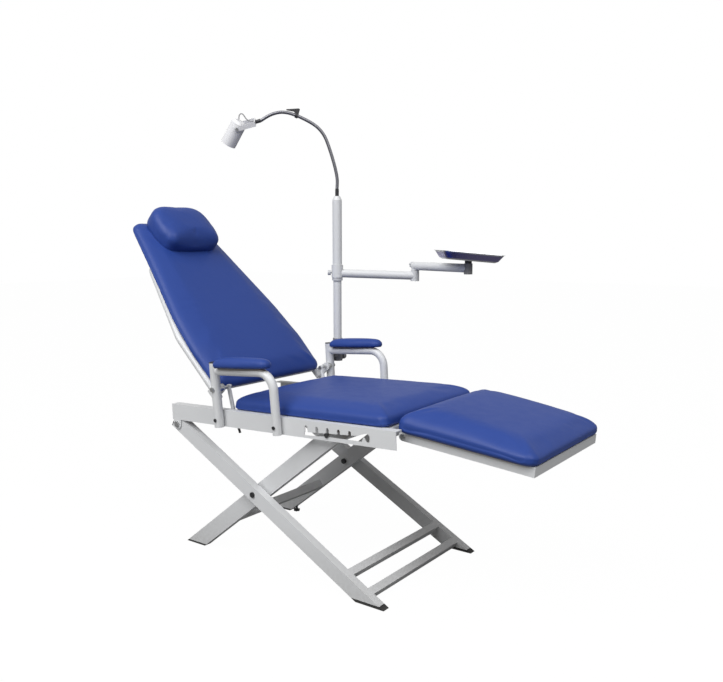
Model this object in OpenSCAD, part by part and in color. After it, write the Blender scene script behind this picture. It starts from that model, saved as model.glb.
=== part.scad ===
// Portable folding dental chair with a height notch rail, leg rest, reclining
// back, armrests, accessory pole with an instrument tray and a gooseneck lamp.
// Units are millimetres, Z points up, X points to the feet end and Y to the
// patient's left side, where the pole stands.

/* [Seat frame] */
// Width of rail top left bare on each side of the seat cushion
rail_bare = 13; // [10:1:20]
// Length of a side rail
rail_l = 830; // [820:5:860]
// Height of the upright web of a side rail
rail_h = 48; // [46:1:56]
// Sheet thickness of a side rail
rail_wall = 2.5; // [2:0.5:3]
// Width of the top flange of a side rail
rail_lip = 28; // [24:1:28]
// Height of the rail top above the floor at its rear end
rail_rear_z = 448; // [440:1:470]
// Upward tilt of the seat toward the knees
seat_tilt = 2.2; // [0:0.1:4]
// Side of the square cross tubes of the seat frame
cross_tube = 25; // [20:1:25]
// Wall of the square and rectangular tubes
tube_wall = 2; // [1.5:0.5:3]
// Distance from the rail's rear end to the rear cross tube, under the seat cushion
rear_cross_s = 258; // [258:2:278]
// Distance from the rail's rear end to the middle cross tube
mid_cross_s = 410; // [380:5:410]
// Distance from the rail's rear end to the front cross tube
front_cross_s = 766; // [760:1:770]

/* [Scissor legs] */
// Distance of the outer leg pivot from the rail's rear end
leg_pivot_s = 20; // [18:1:30]
// Depth of the outer leg pivot under the rail top
leg_pivot_drop = 61; // [58:1:64]
// Distance of the height rod from the rail's rear end
rod_s = 611; // [600:1:620]
// Depth of the height rod under the rail top
rod_drop = 33; // [32.6:0.2:33.4]
// Distance of the scissor bolt from either upper pivot
leg_half = 353; // [345:1:365]
// Wide side of an outer leg tube
outer_leg_h = 43; // [38:1:44]
// Wide side of an inner leg tube
inner_leg_h = 49; // [40:1:50]
// Narrow side of both leg tubes
leg_w = 25; // [22:1:25]
// Side gap between an outer leg and its rail
leg_rail_gap = 1; // [0.8:0.1:1.2]
// Side gap between an outer leg and an inner leg
leg_gap = 8; // [7:0.5:10]
// Length of an outer leg beyond its pivot
leg_overhang = 22; // [18:1:24]
// Diameter of the leg pivot bolts
leg_bolt_d = 10; // [8:1:12]
// Running clearance of every pivot bolt, on the radius
pin_clear = 0.05; // [0.02:0.01:0.1]
// Diameter of the height rod
rod_d = 8; // [7:0.5:8]
// Outside radius of the bend at the top of an inner leg
leg_bend_r = 60; // [50:1:62]
// Thickness of the rubber feet of the outer legs
outer_foot = 8; // [5:1:12]
// Thickness of the rubber feet of the inner legs
inner_foot = 6; // [4:1:10]
// Side of a foot rung along the leg
rung_l = 22; // [18:1:24]
// Side of a foot rung square to the leg
rung_h = 20; // [16:1:21]
// Distance of the upper rung from the outer leg pivot
rung_1 = 710; // [700:1:720]
// Distance of the lower rung from the outer leg pivot
rung_2 = 786; // [770:1:790]

/* [Leg rest] */
// Width of the leg rest cushion
rest_cushion_w = 436; // [410:2:440]
// Width over the side tubes of the leg rest
rest_frame_w = 392; // [380:2:400]
// Length of the leg rest cushion
rest_cushion_l = 388; // [360:1:400]
// Thickness of the leg rest cushion at its edge
rest_cushion_h = 56; // [44:1:62]
// Downward slope of the leg rest
rest_slope = 5.1; // [0:0.1:10]
// Distance of the leg rest hinge from the rail's rear end
rest_hinge_s = 815; // [812:1:818]
// Depth of the leg rest hinge under the rail top
rest_hinge_drop = 24; // [20:1:26]

/* [Seat cushion] */
// Width of the seat cushion
seat_w = 474; // [440:2:480]
// Length of the seat cushion
seat_l = 550; // [520:1:554]
// Thickness of the seat cushion at its edge
seat_h = 40; // [30:1:50]
// Gap from the rail's rear end to the seat cushion
seat_s = 241; // [239:1:248]
// Height of the crown of every cushion
crown = 9; // [4:1:14]
// Thickness of the plywood boards
board_t = 9; // [6:1:12]

/* [Backrest] */
// Angle of the backrest above the horizontal
back_angle = 44.4; // [40:0.2:50]
// Length of the back cushion
back_l = 704; // [690:2:710]
// Gap between the back cushion and the outside of either rail
back_gap = 4; // [3:0.5:12]
// Width of the back cushion at its top
back_narrow = 296; // [284:2:312]
// Thickness of the back cushion at its edge
back_h = 32; // [28:1:40]
// Depth of the back cushion's rear face behind the pivot
back_drop = 30; // [29:1:34]
// Outside diameter of the back frame tube
back_tube_d = 22; // [19:1:25]
// Width of the head pillow
pillow_w = 242; // [220:2:250]
// Height of the head pillow up the backrest
pillow_l = 176; // [170:2:190]
// Thickness of the head pillow
pillow_h = 76; // [56:1:80]
// Reach of the head pillow past the top of the back cushion
pillow_over = 9; // [0:1:16]

/* [Armrests] */
// Diameter of the rear upright of an armrest
post_d = 28; // [26:1:28]
// Diameter of the bent tube of an armrest
arm_d = 25; // [22:1:25]
// Distance of the rear upright from the rail's rear end
arm_s = 221; // [218:1:224]
// Distance between the two uprights of an armrest
arm_span = 225; // [215:1:235]
// Height of the arm tube above the lower edge of the rail
arm_h = 165; // [150:1:170]
// Backward lean of the armrests against the seat frame
arm_tilt = 2; // [0:0.5:3]
// Outward splay of the armrests
arm_splay = 1.1; // [0.8:0.1:2]
// Gap from the middle of the rear upright to an armrest pad
pad_s = 16.5; // [16:0.5:22]
// Length of an armrest pad
pad_l = 200; // [180:1:202]
// Width of an armrest pad
pad_w = 58; // [46:1:60]
// Thickness of an armrest pad without its board
pad_h = 26; // [20:1:32]

/* [Accessory pole] */
// Distance of the pole axis from the rear end of the frame
pole_x = 216; // [214:1:218]
// Distance of the pole axis from the middle plane
pole_y = 306; // [304:1:308]
// Diameter of the lower pole
pole_low_d = 28; // [25:1:30]
// Diameter of the upper pole
pole_up_d = 32; // [32:1:34]
// Height of the top of the upper pole
pole_top_z = 1083; // [1000:1:1150]
// Height of the underside of the tray arm hub
hub_z = 821.5; // [700:0.5:880]
// Height of the tray arm hub
hub_h = 42.5; // [36:0.5:50]
// Diameter of the tray arm hub
hub_d = 39.4; // [38:0.2:44]
// Diameter of both tray arms
tray_arm_d = 28; // [24:1:28]
// Length of the first tray arm between its axes
arm_1_l = 266; // [220:1:300]
// Direction of the first tray arm seen from above
arm_1_turn = 36.2; // [0:0.1:80]
// Length of the second tray arm between its axes
arm_2_l = 266; // [220:1:300]
// Direction of the second tray arm seen from above
arm_2_turn = -18.7; // [-60:0.1:60]
// Length of the instrument tray
tray_l = 200; // [160:1:240]
// Width of the instrument tray
tray_w = 145; // [110:1:170]
// Depth of the instrument tray
tray_d = 26; // [16:1:32]
// Direction of the tray's long side seen from above
tray_turn = 45; // [-90:1:90]
// Slope of the tray
tray_slope = 5; // [0:0.5:8]

/* [Lamp] */
// Diameter of the gooseneck
neck_d = 11; // [9:0.5:12]
// Diameter of the lamp cable
cable_d = 5; // [4:0.5:6]
// Diameter of the lamp shade
shade_d = 52; // [46:1:60]
// Length of the lamp shade
shade_l = 66; // [50:1:80]
// Downward tilt of the lamp shade
lamp_tilt = 60; // [45:1:75]

/* [Hidden] */
$fn = 48;
frame_w = seat_w + 2 * rail_bare;
half_w = frame_w / 2;
web_in = half_w - rail_wall;
lip_in = half_w - rail_lip;
slip = 0.3;

// Leg pivots in the side view, measured from the rail's rear end at the floor
function rail_x(s, h) = s * cos(seat_tilt) - h * sin(seat_tilt);
function rail_z(s, h) = rail_rear_z + s * sin(seat_tilt) + h * cos(seat_tilt);
a_x = rail_x(leg_pivot_s, -leg_pivot_drop);
a_z = rail_z(leg_pivot_s, -leg_pivot_drop);
b_x = rail_x(rod_s, -rod_drop);
b_z = rail_z(rod_s, -rod_drop);
ab = norm([b_x - a_x, b_z - a_z]);
ab_rise = atan2(b_z - a_z, b_x - a_x);
scissor = acos(ab / 2 / leg_half);
outer_dip = scissor - ab_rise;
inner_rise = scissor + ab_rise;
p_x = a_x + leg_half * cos(outer_dip);
p_z = a_z - leg_half * sin(outer_dip);

// Sideways layout of the legs
outer_out = web_in - leg_rail_gap;
outer_in = outer_out - leg_w;
inner_out = outer_in - leg_gap;
inner_in = inner_out - leg_w;
bend_y = inner_out - leg_bend_r;
bend_x = leg_half + leg_w / 2 - leg_bend_r;

// Leg lengths down to the floor
outer_floor = a_z / sin(outer_dip);
inner_floor = p_z / sin(inner_rise);

// Levelling screw in the left inner leg
level_x = p_x - inner_floor * cos(inner_rise) + inner_leg_h / 2 / sin(inner_rise) + 22;
level_y = inner_out - leg_w / 2;

// Leg rest hinge
rest_x = rail_x(rest_hinge_s, -rest_hinge_drop);
rest_z = rail_z(rest_hinge_s, -rest_hinge_drop);
rest_lap = 19;
rest_tube_in = rest_frame_w / 2 - cross_tube;
rest_bar_x = 336;

// Back pivot on the axis of the rear upright
pivot_w = 112.5;
pivot_s = arm_s - pivot_w * sin(arm_tilt);
pivot_h = pivot_w * cos(arm_tilt) - rail_h;
pivot_x = rail_x(pivot_s, pivot_h);
pivot_z = rail_z(pivot_s, pivot_h);
post_y = half_w + post_d / 2 + 0.2;
screw_h = 22;
pivot_post_y = post_y + pivot_w * tan(arm_splay);
plate_out = half_w - 3;
plate_in = plate_out - 5;
back_wide = frame_w - 2 * back_gap;
back_t = 7;
pillow_t = back_t + back_l + pillow_over - pillow_l;
back_tube_n = -back_drop - back_tube_d / 2;
back_low_y = half_w - 17;
back_knee_t = 228;
back_high_y = back_narrow / 2 + 10;
back_bar_t = back_l - 174;
stay_d = 12;
stay_y = lip_in - stay_d / 2;
eye_out = stay_y + 3;
eye_in = eye_out - 6;
stay_low = [pivot_x + 19.5, rail_rear_z - 3];
stud_y = outer_in - 4;
stud_low = [pivot_x + 45, rail_rear_z - 61];

// Pole and tray arms
socket_d = 33;
socket_low = 534;
socket_high = 612;
elbow_x = pole_x + arm_1_l * cos(arm_1_turn);
elbow_y = pole_y + arm_1_l * sin(arm_1_turn);
tray_x = elbow_x + arm_2_l * cos(arm_2_turn);
tray_y = elbow_y + arm_2_l * sin(arm_2_turn);
arm_1_z = hub_z + 14.5;
elbow_z = arm_1_z - 9;
elbow_low = elbow_z - 18;
elbow_high = elbow_z + 19;
arm_2_z = elbow_high + 14.4;
holder_low = arm_2_z - 19;
holder_high = arm_2_z + 15;
post_top = holder_high + 12;
neck_base = pole_top_z + 37;
neck_turn = 36.2;
neck_end = [-272, 221];
lamp_dip = 15;
yoke_l = 64;
yoke_turn = 22;
lamp_x = neck_end[0] - yoke_l * cos(lamp_dip);
lamp_z = neck_end[1] - yoke_l * sin(lamp_dip);
ferrule_l = 18;
ferrule_d = 12.5;

// Gooseneck route: distance from the pole axis and height above its base
neck_path = [
    [0, 0], [0, 3], [1, 17], [1, 33], [-2, 52], [-7, 74], [-13, 96], [-20, 119],
    [-28, 143], [-35, 162], [-43, 178], [-53, 192], [-66, 205], [-80, 215],
    [-94, 223], [-110, 231], [-126, 238.5], [-142, 244.5], [-158, 249.5],
    [-171, 252], [-184, 253], [-197, 251.5], [-210, 248.5], [-222, 244],
    [-233, 238.5], [-243, 232.5], [-251, 227.2], [-252.68, 226.22], [-254.61, 225.7]
];

// Wire route from the yoke's bridge to the lamp head, as a slack loop above both
yoke_x = [cos(lamp_dip), sin(lamp_dip)];
yoke_z = [-yoke_x[1], yoke_x[0]];
wire_start = [lamp_x, lamp_z] + (yoke_l - 3) * yoke_x + 3.5 * yoke_z;
wire_path = [
    wire_start, wire_start - 6 * yoke_x,
    [-288, 222], [-294, 224], [-299, 227.5], [-304, 232.5], [-308, 238],
    [-311.5, 243.5], [-315.5, 247.5], [-320, 248.5], [-324, 246.5], [-326.5, 242],
    [-327.5, 236], [-327.5, 229.3]
];

// Overall shift that puts the origin on the floor under the middle of the chair
x_low = pivot_x - (back_t + back_l) * cos(back_angle) - (back_drop - 8) * sin(back_angle);
x_high = rest_x + (rest_cushion_l - rest_lap) * cos(rest_slope) + 3;
y_low = -post_y - (arm_h + 22) * sin(arm_splay) - pad_w / 2;
y_high = tray_y + (tray_l + tray_w) * sin(45) / 2 - 10;
shift_x = (x_low + x_high) / 2;
shift_y = (y_low + y_high) / 2;

// Colours
paint = [0.86, 0.87, 0.88];
vinyl = [0.16, 0.25, 0.55];
black = [0.10, 0.10, 0.11];
wood = [0.50, 0.36, 0.24];
steel = [0.72, 0.73, 0.75];
dark = [0.30, 0.31, 0.33];

module place() {
    translate([-shift_x, -shift_y, 0])
        children();
}

module both_sides() {
    children();
    mirror([0, 1, 0])
        children();
}

module rail_place() {
    place()
        translate([0, 0, rail_rear_z])
            rotate([0, -seat_tilt, 0])
                children();
}

module arm_place() {
    rail_place()
        translate([arm_s, post_y, -rail_h])
            rotate([0, -arm_tilt, 0])
                rotate([-arm_splay, 0, 0])
                    children();
}

module arm_place_right() {
    rail_place()
        translate([arm_s, -post_y, -rail_h])
            rotate([0, -arm_tilt, 0])
                rotate([arm_splay, 0, 0])
                    children();
}

module outer_place() {
    place()
        translate([a_x, 0, a_z])
            rotate([0, outer_dip, 0])
                children();
}

module inner_place() {
    place()
        translate([p_x, 0, p_z])
            rotate([0, -inner_rise, 0])
                children();
}

module back_place() {
    place()
        translate([pivot_x, 0, pivot_z])
            rotate([0, back_angle, 0])
                children();
}

module rest_place() {
    place()
        translate([rest_x, 0, rest_z])
            rotate([0, rest_slope, 0])
                children();
}

module pole_place() {
    place()
        translate([pole_x, pole_y, 0])
            children();
}

module arm_1_place() {
    pole_place()
        rotate([0, 0, arm_1_turn])
            children();
}

module arm_2_place() {
    place()
        translate([elbow_x, elbow_y, 0])
            rotate([0, 0, arm_2_turn])
                children();
}

module tray_place() {
    place()
        translate([tray_x, tray_y, 0])
            children();
}

module neck_place() {
    pole_place()
        translate([0, 0, neck_base])
            rotate([0, 0, neck_turn])
                children();
}

// Yoke frame: origin on the lamp's tilt axis, X toward the gooseneck's end
module yoke_place() {
    neck_place()
        translate([lamp_x, 0, lamp_z])
            rotate([0, -lamp_dip, 0])
                rotate([yoke_turn, 0, 0])
                    children();
}

// Lamp frame: X along the lamp's axis toward its open end
module lamp_place() {
    yoke_place()
        rotate([0, 180 + lamp_dip - lamp_tilt, 0])
            children();
}

// Rod along Y between two distances from the middle plane
module cross_rod(d, y0, y1) {
    translate([0, y1, 0])
        rotate([90, 0, 0])
            cylinder(d = d, h = y1 - y0);
}

// Ring along Y
module cross_ring(d, hole, y0, y1) {
    difference() {
        cross_rod(d, y0, y1);
        cross_rod(hole, y0 - 1, y1 + 1);
    }
}

// Rectangular tube along X, centred on its axis
module box_tube(l, w, h, wall) {
    difference() {
        translate([0, -w / 2, -h / 2])
            cube([l, w, h]);
        translate([-1, wall - w / 2, wall - h / 2])
            cube([l + 2, w - 2 * wall, h - 2 * wall]);
    }
}

// Rectangular tube along Y, centred on its axis
module cross_box(l, w, h, wall) {
    rotate([0, 0, 90])
        translate([-l / 2, 0, 0])
            box_tube(l, w, h, wall);
}

// Floor slab that trims the leg ends
module floor_slab(z0, z1) {
    place()
        translate([-600, -600, z0])
            cube([2400, 1200, z1 - z0]);
}

function unit(v) = v / norm(v);

// Points of the arc that rounds corner p between its neighbours a and b
function fillet(p, a, b, r) =
    let (u = unit(a - p), w = unit(b - p), half = acos(u * w) / 2,
         c = p + unit(u + w) * r / sin(half),
         s = p + u * r / tan(half) - c,
         turn = (180 - 2 * half) * (cross(u, w) < 0 ? 1 : -1),
         n = max(1, ceil(abs(turn) / 15)), a0 = atan2(s[1], s[0]))
    [for (i = [0:n]) c + r * [cos(a0 + turn * i / n), sin(a0 + turn * i / n)]];

// Closed outline from corners [x, y, radius] given counter-clockwise
function outline(q) =
    [for (i = [0:len(q) - 1])
        let (n = len(q), p = [q[i][0], q[i][1]],
             a = [q[(i + n - 1) % n][0], q[(i + n - 1) % n][1]],
             b = [q[(i + 1) % n][0], q[(i + 1) % n][1]])
        each fillet(p, a, b, q[i][2])];

// Left half of a corner list completed by its mirror image
function mirrored(q) =
    concat(q, [for (i = [len(q) - 1:-1:0]) [q[i][0], -q[i][1], q[i][2]]]);

function ring(pts, c, sx, sy, z) =
    [for (p = pts) [c + (p[0] - c) * sx, p[1] * sy, z]];

// Solid skin over a stack of rings with equal point counts
module skin(rings) {
    m = len(rings[0]);
    n = len(rings);
    points = [for (r = rings) each r];
    lower = [for (k = [0:n - 2]) for (i = [0:m - 1])
        [k * m + i, (k + 1) * m + i, (k + 1) * m + (i + 1) % m]];
    upper = [for (k = [0:n - 2]) for (i = [0:m - 1])
        [k * m + i, (k + 1) * m + (i + 1) % m, k * m + (i + 1) % m]];
    base = [[for (i = [0:m - 1]) i]];
    top = [[for (i = [m - 1:-1:0]) (n - 1) * m + i]];
    polyhedron(points = points, faces = concat(lower, upper, base, top));
}

// Upholstered cushion: rolled edges, slightly drawn-in foot, a soft crown and a
// share of its thickness that runs out towards the far end
module cushion(pts, c, l, w, h, rise, roll, edge, recess, fall) {
    tuck = 3;
    foot_r = 5;
    sx = function (d) (l - 2 * d) / l;
    sy = function (d) (w - 2 * d) / w;
    foot = [for (z = recess > 0 ? [recess, 0] : []) ring(pts, c, sx(edge), sy(edge), z)];
    low = [for (a = [0:30:90])
        ring(pts, c, sx(tuck + foot_r - foot_r * sin(a)), sy(tuck + foot_r - foot_r * sin(a)),
             foot_r - foot_r * cos(a))];
    side = [ring(pts, c, sx(1), sy(1), h * 0.38)];
    over = [for (a = [0:22.5:90])
        ring(pts, c, sx(roll - roll * cos(a)), sy(roll - roll * cos(a)),
             h - roll + roll * sin(a))];
    dome = [for (q = [0.12, 0.28, 0.5, 0.75, 0.95])
        ring(pts, c, sx(roll) * (1 - q), sy(roll) * (1 - q), h + rise * sin(90 * q))];
    slim = function (p)
        [p[0], p[1], p[2] - max(0, p[2] - 12) * fall * ((p[0] - c) / l + 0.5) ^ 2];
    skin([for (r = concat(foot, low, side, over, dome)) [for (p = r) slim(p)]]);
}

// Flat board that fills the recess of a cushion
module board(pts, c, l, w, edge, t) {
    linear_extrude(t)
        polygon([for (p = ring(pts, c, (l - 2 * edge - 1) / l, (w - 2 * edge - 1) / w, 0))
            [p[0], p[1]]]);
}

// Round cable or hose along a route in the XZ plane
module planar_hose(path, d, sides) {
    n = len(path);
    skin([for (i = [0:n - 1])
        let (t = unit(path[min(i + 1, n - 1)] - path[max(i - 1, 0)]))
        [for (k = [0:sides - 1])
            let (a = -360 * k / sides, u = d / 2 * cos(a), v = d / 2 * sin(a))
            [path[i][0] - t[1] * u, v, path[i][1] + t[0] * u]]]);
}

// Seat frame

module notch(s) {
    translate([s - 4.7, -36])
        square([9.4, 36 - 18.2]);
    translate([s, -18.2])
        circle(d = 9.4);
}

module slot_shape() {
    rise = tan(ab_rise - seat_tilt);
    low = -rod_drop - rod_s * rise - rod_d / 2 - 0.6;
    top = low + rod_d + 1.2;
    polygon([
        [533, low + 533 * rise], [610, low + 610 * rise], [724, -37.6], [726, -33],
        [729.5, -26.5], [731.5, -25.6], [733.5, -26.5], [736, -32], [738, -35.5],
        [741, -37.4], [744.5, -37.6], [748, -35.5], [750, -31], [750, -22], [747.5, -17.5],
        [743, -15], [738, -15.2], [708, top + 708 * rise], [533, top + 533 * rise]
    ]);
    notch(540);
    notch(577);
    notch(613);
    notch(650);
    notch(686);
}

// Left side rail in the rail frame: web, top flange, pivot ear and height slot
module side_rail() {
    difference() {
        union() {
            translate([0, half_w, 0])
                rotate([90, 0, 0])
                    linear_extrude(rail_wall)
                        union() {
                            translate([0, -rail_h])
                                square([rail_l, rail_h]);
                            translate([leg_pivot_s, -leg_pivot_drop])
                                circle(r = 16);
                            translate([leg_pivot_s - 16, -leg_pivot_drop])
                                square([32, leg_pivot_drop - rail_h + 1]);
                        }
            translate([0, lip_in, -rail_wall])
                cube([rail_l, rail_lip, rail_wall]);
        }
        translate([0, half_w + 1, 0])
            rotate([90, 0, 0])
                linear_extrude(rail_wall + 2)
                    slot_shape();
        translate([leg_pivot_s, 0, -leg_pivot_drop])
            cross_rod(leg_bolt_d, 200, 300);
        translate([0, 0, -rail_h])
            post_screw_holes();
    }
}

module left_side_rail() {
    color(paint)
        rail_place()
            side_rail();
}

module right_side_rail() {
    color(paint)
        rail_place()
            mirror([0, 1, 0])
                side_rail();
}

module cross_member(s) {
    color(paint)
        rail_place()
            translate([s + cross_tube / 2, 0, -rail_wall - cross_tube / 2])
                cross_box(2 * web_in, cross_tube, cross_tube, tube_wall);
}

module seat_cross_tubes() {
    cross_member(rear_cross_s);
    cross_member(mid_cross_s);
}

module front_cross_member() {
    cross_member(front_cross_s);
}

// Bolts of the outer leg pivots with their heads outside and nuts inside
module leg_pivot_bolts() {
    color(steel)
        rail_place()
            both_sides()
                translate([leg_pivot_s, 0, -leg_pivot_drop]) {
                    cross_rod(leg_bolt_d, outer_in - 7, half_w + 1);
                    cross_rod(17, half_w, half_w + 6);
                    translate([0, outer_in - slip, 0])
                        rotate([90, 0, 0])
                            cylinder(d = 17, h = 6.7, $fn = 6);
                }
}

// Armrests

// Screw holes through the upright feet and the web, from the rail's lower edge
module post_screw_holes() {
    for (s = [arm_s - 0.8, arm_s + arm_span - 0.8])
        translate([s, 0, screw_h])
            cross_rod(6, 200, 300);
}

module post_shape() {
    difference() {
        cylinder(d = post_d, h = arm_h + 24);
        translate([0, 0, -1])
            cylinder(d = post_d - 2 * tube_wall, h = arm_h + 30);
    }
}

module loop_shape(d) {
    r = 50;
    translate([0, -1.5, arm_h])
        rotate([0, 90, 0])
            cylinder(d = d, h = arm_span - r);
    translate([arm_span - r, -1.5, arm_h - r])
        rotate([90, 0, 0])
            rotate_extrude(angle = 90)
                translate([r, 0])
                    circle(d = d);
    translate([arm_span, -1.5, -8])
        cylinder(d = d, h = arm_h - r + 8);
}

// Both armrests' parts are cut level with the lower edge of the rails
module post_foot_cut() {
    rail_place()
        translate([0, -frame_w, -rail_h - 40])
            cube([rail_l, 2 * frame_w, 40]);
}

// Rear upright with the bent tube welded to it, in the armrest frame
module armrest_shape() {
    post_shape();
    difference() {
        loop_shape(arm_d);
        loop_shape(arm_d - 2 * tube_wall);
        cylinder(d = post_d - 1, h = 300);
    }
}

module left_armrest_frame() {
    color(paint)
        difference() {
            arm_place()
                armrest_shape();
            post_foot_cut();
            rail_place()
                translate([0, 0, -rail_h])
                    post_screw_holes();
            rail_place()
                translate([pivot_s, 0, pivot_h])
                    cross_rod(8, 200, 330);
        }
}

module right_armrest_frame() {
    color(paint)
        difference() {
            arm_place_right()
                mirror([0, 1, 0])
                    armrest_shape();
            post_foot_cut();
            rail_place()
                mirror([0, 1, 0])
                    translate([0, 0, -rail_h])
                        post_screw_holes();
            rail_place()
                translate([pivot_s, 0, pivot_h])
                    cross_rod(8, -330, -200);
        }
}

module post_cap() {
    translate([0, 0, arm_h + 24])
        cylinder(d = post_d, h = 3);
    translate([0, 0, arm_h + 16])
        cylinder(d = post_d - 2 * tube_wall, h = 9);
}

module armrest_caps() {
    color(black) {
        arm_place()
            post_cap();
        arm_place_right()
            post_cap();
    }
}

module armrest_screws() {
    rise = screw_h * tan(arm_splay) + 0.3;
    color(dark)
        rail_place()
            both_sides() {
                armrest_screw(arm_s - 0.8, post_y + post_d / 2 + rise);
                armrest_screw(arm_s + arm_span - 0.8, post_y - 1.5 + arm_d / 2 + rise);
            }
}

// One screw through an upright and the rail, with its head at y
module armrest_screw(s, y) {
    translate([s, 0, screw_h - rail_h]) {
        cross_rod(6, web_in - 1, y + 0.4);
        cross_rod(10, y, y + 2.4);
        cross_rod(10, web_in - 4, web_in);
    }
}

function pad_pts() = outline(mirrored([
    [pad_s, -pad_w / 2, 14], [pad_s + 0.45 * pad_l, -pad_w / 2, 200],
    [pad_s + pad_l, -pad_w / 2 + 10, 18]
]));
pad_c = pad_s + pad_l / 2;
pad_base = arm_h + arm_d / 2;
board_h = 4.5;

module left_pad_board() {
    arm_place()
        translate([0, 0, pad_base])
            board(pad_pts(), pad_c, pad_l, pad_w, 5, board_h);
}

module armrest_boards() {
    color(wood) {
        left_pad_board();
        arm_place_right()
            translate([0, 0, pad_base])
                board(pad_pts(), pad_c, pad_l, pad_w, 5, board_h);
    }
}

module left_armrest_pad() {
    color(vinyl)
        arm_place()
            translate([0, 0, pad_base + board_h])
                cushion(pad_pts(), pad_c, pad_l, pad_w, pad_h - 6, 6, 12, 8, 0, 0);
}

module right_armrest_pad() {
    color(vinyl)
        arm_place_right()
            translate([0, 0, pad_base + board_h])
                cushion(pad_pts(), pad_c, pad_l, pad_w, pad_h - 6, 6, 12, 8, 0, 0);
}

// Seat

function seat_pts() = outline(mirrored([
    [seat_s, -seat_w / 2, 24], [seat_s + seat_l, -seat_w / 2, 26]
]));
seat_c = seat_s + seat_l / 2;

module seat_board() {
    color(wood)
        rail_place()
            board(seat_pts(), seat_c, seat_l, seat_w, 11, board_t);
}

module seat_cushion() {
    color(vinyl)
        rail_place()
            cushion(seat_pts(), seat_c, seat_l, seat_w, seat_h, crown, 16, 11, board_t, 0);
}

// Back pivot, shared by the uprights, the brackets and the stays

module back_pivot_bolts() {
    color(steel) {
        rail_place()
            both_sides()
                translate([pivot_s, 0, pivot_h]) {
                    cross_rod(8, eye_in - 4, pivot_post_y + post_d / 2 + 2);
                    cross_rod(13, pivot_post_y + post_d / 2 + 0.8,
                              pivot_post_y + post_d / 2 + 5);
                    cross_rod(11, eye_in - 5.5, eye_in);
                }
        difference() {
            rail_place()
                both_sides()
                    translate([pivot_s, 0, pivot_h])
                        cross_rod(26, plate_out + slip, pivot_post_y - 4);
            arm_place()
                cylinder(d = post_d, h = 300);
            arm_place_right()
                cylinder(d = post_d, h = 300);
        }
    }
}

// Rod between two points of the side view, at one distance from the middle plane
module side_rod(d, y, low, high) {
    translate([low[0], y, low[1]])
        rotate([0, atan2(high[0] - low[0], high[1] - low[1]), 0])
            cylinder(d = d, h = norm(high - low));
}

module stay_stud() {
    side_rod(7, stud_y, stud_low, stay_low + [-2, 8]);
}

// Round stays from the back pivot down to the inner edge of the rails
module back_stays() {
    color(paint)
        place()
            both_sides()
                difference() {
                    union() {
                        side_rod(stay_d, stay_y, stay_low, [pivot_x, pivot_z]);
                        translate([pivot_x, 0, pivot_z])
                            cross_rod(stay_d + 2, eye_in, eye_out);
                    }
                    translate([pivot_x, 0, pivot_z]) {
                        cross_rod(8, 200, 240);
                        cross_rod(stay_d + 3, eye_in - 8, eye_in);
                    }
                    stay_stud();
                }
}

// Threaded studs that carry the stays' lower ends on under the rails
module stay_studs() {
    color(black)
        place()
            both_sides()
                stay_stud();
}

// Scissor legs

// Outer leg outline in its own frame, reaching below the floor
module outer_leg_block() {
    translate([-leg_overhang, outer_in, -outer_leg_h / 2])
        cube([outer_floor + leg_overhang + 60, leg_w, outer_leg_h]);
}

module outer_leg() {
    difference() {
        outer_place()
            difference() {
                translate([3 - leg_overhang, outer_in + leg_w / 2, 0])
                    box_tube(outer_floor + leg_overhang + 60, leg_w, outer_leg_h, tube_wall);
                cross_rod(leg_bolt_d + 2 * pin_clear, 200, 300);
                translate([leg_half, 0, 0])
                    cross_rod(leg_bolt_d, 200, 300);
            }
        floor_slab(-200, outer_foot);
    }
}

module left_outer_leg() {
    color(paint)
        outer_leg();
}

// Mirror across the middle plane of the chair
module opposite() {
    place()
        mirror([0, 1, 0])
            translate([shift_x, shift_y, 0])
                children();
}

module right_outer_leg() {
    color(paint)
        opposite()
            outer_leg();
}

module rung(s) {
    color(paint)
        outer_place()
            translate([s + rung_l / 2, 0, outer_leg_h / 2 - rung_h / 2])
                cross_box(2 * outer_in, rung_l, rung_h, 1.5);
}

module foot_rungs() {
    rung(rung_1);
    rung(rung_2);
}

module outer_end_plugs() {
    color(black)
        outer_place()
            both_sides() {
                translate([-leg_overhang, outer_in, -outer_leg_h / 2])
                    cube([3, leg_w, outer_leg_h]);
                translate([3 - leg_overhang, outer_in + tube_wall, tube_wall - outer_leg_h / 2])
                    cube([8, leg_w - 2 * tube_wall, outer_leg_h - 2 * tube_wall]);
            }
}

// Rubber shoes: a sole under the tube and a plug inside it
module outer_feet() {
    color(black)
        both_outer() {
            intersection() {
                outer_place()
                    outer_leg_block();
                floor_slab(0, outer_foot);
            }
            intersection() {
                outer_place()
                    translate([0, outer_in + tube_wall, tube_wall - outer_leg_h / 2])
                        cube([outer_floor + 60, leg_w - 2 * tube_wall,
                              outer_leg_h - 2 * tube_wall]);
                floor_slab(outer_foot, outer_foot + 16);
            }
        }
}

module both_outer() {
    children();
    opposite()
        children();
}

// Scissor bolts with a cap outside, a spacer ring and a nut inside
module scissor_bolts() {
    color(black)
        outer_place()
            both_sides()
                translate([leg_half, 0, 0]) {
                    cross_rod(leg_bolt_d, inner_in - 7.5, outer_out + 1);
                    cross_rod(16, outer_out, outer_out + 4);
                    cross_rod(17, inner_in - 7.5, inner_in - slip);
                    cross_rod(18, inner_out + slip, outer_in);
                }
}

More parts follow.
